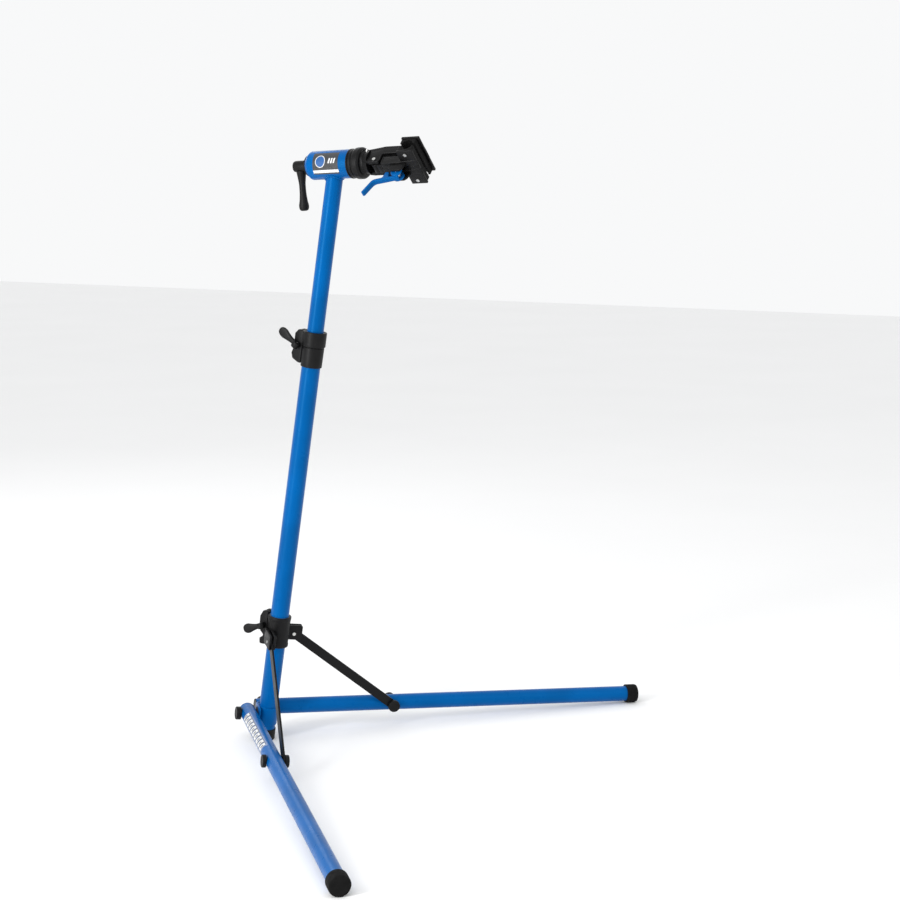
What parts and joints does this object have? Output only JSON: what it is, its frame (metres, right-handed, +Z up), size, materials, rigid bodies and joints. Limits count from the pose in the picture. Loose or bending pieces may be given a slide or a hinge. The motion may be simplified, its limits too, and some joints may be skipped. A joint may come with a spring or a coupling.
{
  "type": "bicycle repair stand",
  "caption": "Folding bicycle repair stand with a leaning height-adjustable post, two braced tube legs and a turning cam-lever clamp.",
  "frame": {"origin": "where the post's centre line meets the floor, on the flat under the post's foot cap", "axes": "+Z up, +X the way the post leans and the clamp points, the legs spread either side of +X, +Y to the far leg's side"},
  "size_m": [0.7338, 1.466, 1.427],
  "materials": {
    "blue_paint": "gloss powder coat",
    "black_paint": "satin powder coat",
    "black_plastic": "moulded glass-filled nylon",
    "steel": "zinc-plated",
    "rubber": "matte moulded rubber",
    "nylon": "smooth nylon",
    "label": "printed vinyl film"
  },
  "bodies": {
    "base": {"lower_tube": "blue_paint", "post_foot_cap": "rubber", "leg_bracket": "blue_paint", "leg_pivot_studs": "steel", "leg_pivot_caps": "black_plastic", "leg_pivot_washers": "nylon", "height_collar": "black_plastic", "height_bushing": "nylon", "height_clamp_bolt": "steel", "height_cam_pin": "steel"},
    "lever_height": {"height_lever": "black_plastic"},
    "leg_near": {"near_leg": "blue_paint", "near_leg_foot": "rubber", "near_leg_plug": "black_plastic", "near_leg_spacer": "nylon", "near_brace_bolt": "black_plastic", "leg_label": "label"},
    "leg_far": {"far_leg": "blue_paint", "far_leg_foot": "rubber", "far_leg_plug": "black_plastic", "far_leg_spacer": "nylon", "far_brace_bolt": "black_plastic"},
    "collar": {"slide_collar": "black_plastic", "slide_liner": "nylon", "slide_clamp_bolt": "steel", "slide_cam_pin": "steel", "brace_pins": "steel"},
    "lever_collar": {"collar_lever": "black_plastic"},
    "brace_near": {"near_brace": "black_paint", "near_brace_nut": "black_plastic"},
    "brace_far": {"far_brace": "black_paint", "far_brace_nut": "black_plastic"},
    "mast": {"upper_tube": "blue_paint", "mast_guide": "nylon", "head_sleeve": "blue_paint", "sleeve_end_cap": "black_plastic", "rear_bearing": "nylon", "front_bearing": "nylon", "friction_ring": "steel", "head_label": "label"},
    "clamp": {"clamp_spindle": "steel", "clamp_flange": "black_paint", "clamp_arm": "black_paint", "jaw_pivot_pin": "steel", "fixed_pad": "rubber", "fixed_pad_screws": "steel", "arm_set_screw": "steel", "jaw_spring": "steel"},
    "crank": {"crank_handle": "black_plastic", "crank_end_disc": "black_plastic"},
    "jaw": {"moving_jaw": "black_paint", "moving_pad": "rubber", "moving_pad_screws": "steel"},
    "rod": {"draw_rod": "steel", "cam_lever_pin": "steel"},
    "cam": {"cam_lever": "blue_paint"},
    "knob": {"adjusting_knob": "black_plastic"}
  },
  "joints": [
    {"name": "near_leg_fold", "type": "hinge", "parent": "base", "child": "leg_near", "pos_m": [-0.02202, -0.03253, 0.06889], "axis": [-0.6984, -0.7071, 0.1106], "range_deg": [0, 79]},
    {"name": "far_leg_fold", "type": "hinge", "parent": "base", "child": "leg_far", "pos_m": [-0.02202, 0.03253, 0.06889], "axis": [0.6984, -0.7071, -0.1106], "range_deg": [0, 79]},
    {"name": "brace_collar_slide", "type": "slide", "parent": "base", "child": "collar", "axis": [0.1564, 0, 0.9877], "range_m": [0, 0.4447]},
    {"name": "near_brace_swing", "type": "hinge", "parent": "collar", "child": "brace_near", "pos_m": [0.0552, -0.04815, 0.25855], "axis": [-0.6984, -0.7071, 0.1106], "range_deg": [-57.49, 0]},
    {"name": "far_brace_swing", "type": "hinge", "parent": "collar", "child": "brace_far", "pos_m": [0.0552, 0.04815, 0.25855], "axis": [0.6984, -0.7071, -0.1106], "range_deg": [-57.49, 0]},
    {"name": "collar_lever_open", "type": "hinge", "parent": "collar", "child": "lever_collar", "pos_m": [0.00986, -0.022, 0.28598], "axis": [-0.2756, 0, 0.9613], "range_deg": [0, 95]},
    {"name": "height_lever_open", "type": "hinge", "parent": "base", "child": "lever_height", "pos_m": [0.11655, -0.022, 0.95958], "axis": [0.6691, 0, 0.7431], "range_deg": [0, 95]},
    {"name": "mast_height", "type": "slide", "parent": "base", "child": "mast", "axis": [0.1564, 0, 0.9877], "range_m": [-0.24, 0.13]},
    {"name": "clamp_turn", "type": "hinge", "parent": "mast", "child": "clamp", "pos_m": [0.21635, 0, 1.36597], "axis": [0.999, 0, 0.0436], "continuous": true},
    {"name": "crank_turn", "type": "hinge", "parent": "clamp", "child": "crank", "pos_m": [0.11245, 0, 1.36144], "axis": [0.999, 0, 0.0436], "continuous": true},
    {"name": "jaw_swing", "type": "hinge", "parent": "clamp", "child": "jaw", "pos_m": [0.32861, -0.00848, 1.36238], "axis": [0.0308, 0.7071, -0.7064], "range_deg": [0, 18]},
    {"name": "draw_rod_slide", "type": "slide", "parent": "clamp", "child": "rod", "axis": [0.0308, -0.7071, -0.7064], "range_m": [0, 0.0222]},
    {"name": "cam_lever_swing", "type": "hinge", "parent": "rod", "child": "cam", "pos_m": [0.39145, -0.02899, 1.3446], "axis": [-0.0308, -0.7071, 0.7064], "range_deg": [0, 100]},
    {"name": "knob_turn", "type": "hinge", "parent": "clamp", "child": "knob", "pos_m": [0.38926, 0.02121, 1.39476], "axis": [-0.0308, 0.7071, 0.7064], "continuous": true}
  ],
  "couplings": [
    {"joint": "far_leg_fold", "follows": "near_leg_fold", "ratio": 1},
    {"joint": "brace_collar_slide", "follows": "near_leg_fold", "m_per_rad": 0.32248},
    {"joint": "near_brace_swing", "follows": "near_leg_fold", "ratio": -0.72649},
    {"joint": "far_brace_swing", "follows": "near_leg_fold", "ratio": -0.72649},
    {"joint": "draw_rod_slide", "follows": "jaw_swing", "m_per_rad": 0.070028}
  ]
}
